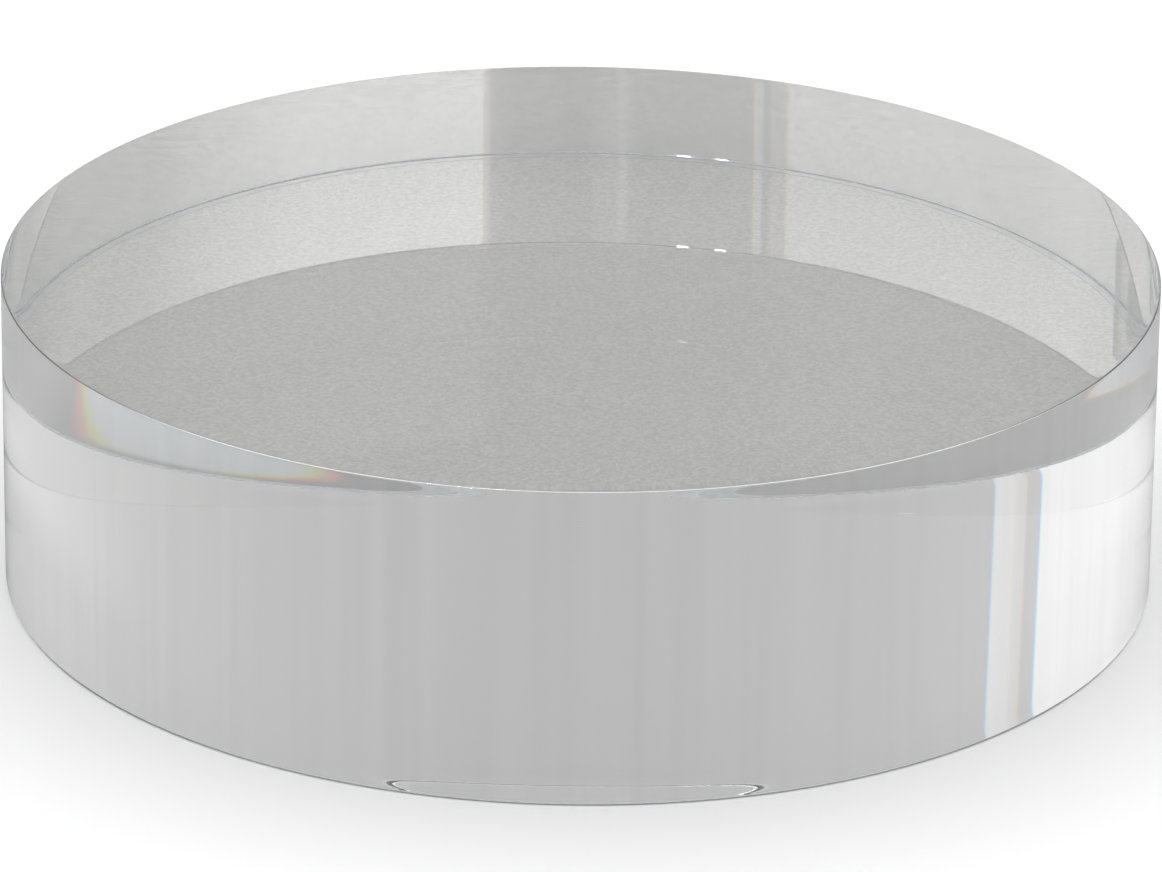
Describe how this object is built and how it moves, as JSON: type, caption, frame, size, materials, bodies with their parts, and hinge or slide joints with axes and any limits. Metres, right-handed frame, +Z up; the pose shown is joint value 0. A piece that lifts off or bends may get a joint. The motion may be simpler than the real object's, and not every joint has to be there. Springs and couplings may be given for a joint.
{
  "type": "round vanity tray block",
  "caption": "Thick flat-topped clear round block on a silver backing sheet and a thin anti-slip pad, for standing perfume bottles on.",
  "frame": {"origin": "centre of the circle that the block rests on, on the pad's underside", "axes": "+Z up along the axis of the round block; +X and +Y are any two directions square to it, with -Y towards the viewer"},
  "size_m": [0.178, 0.178, 0.05],
  "materials": {
    "clear_acrylic": "polished, colourless, optically clear, refractive index about 1.49",
    "clear_adhesive": "clear to milky adhesive",
    "silver_sheet": "silver grey, glossy, with a fine grain",
    "anti_slip_pad": "matte, milky silicone with a fine grain"
  },
  "bodies": {
    "root": {"clear_block": "clear_acrylic", "bond_ring": "clear_adhesive", "backing_sheet": "silver_sheet", "base_pad": "anti_slip_pad"}
  },
  "joints": []
}
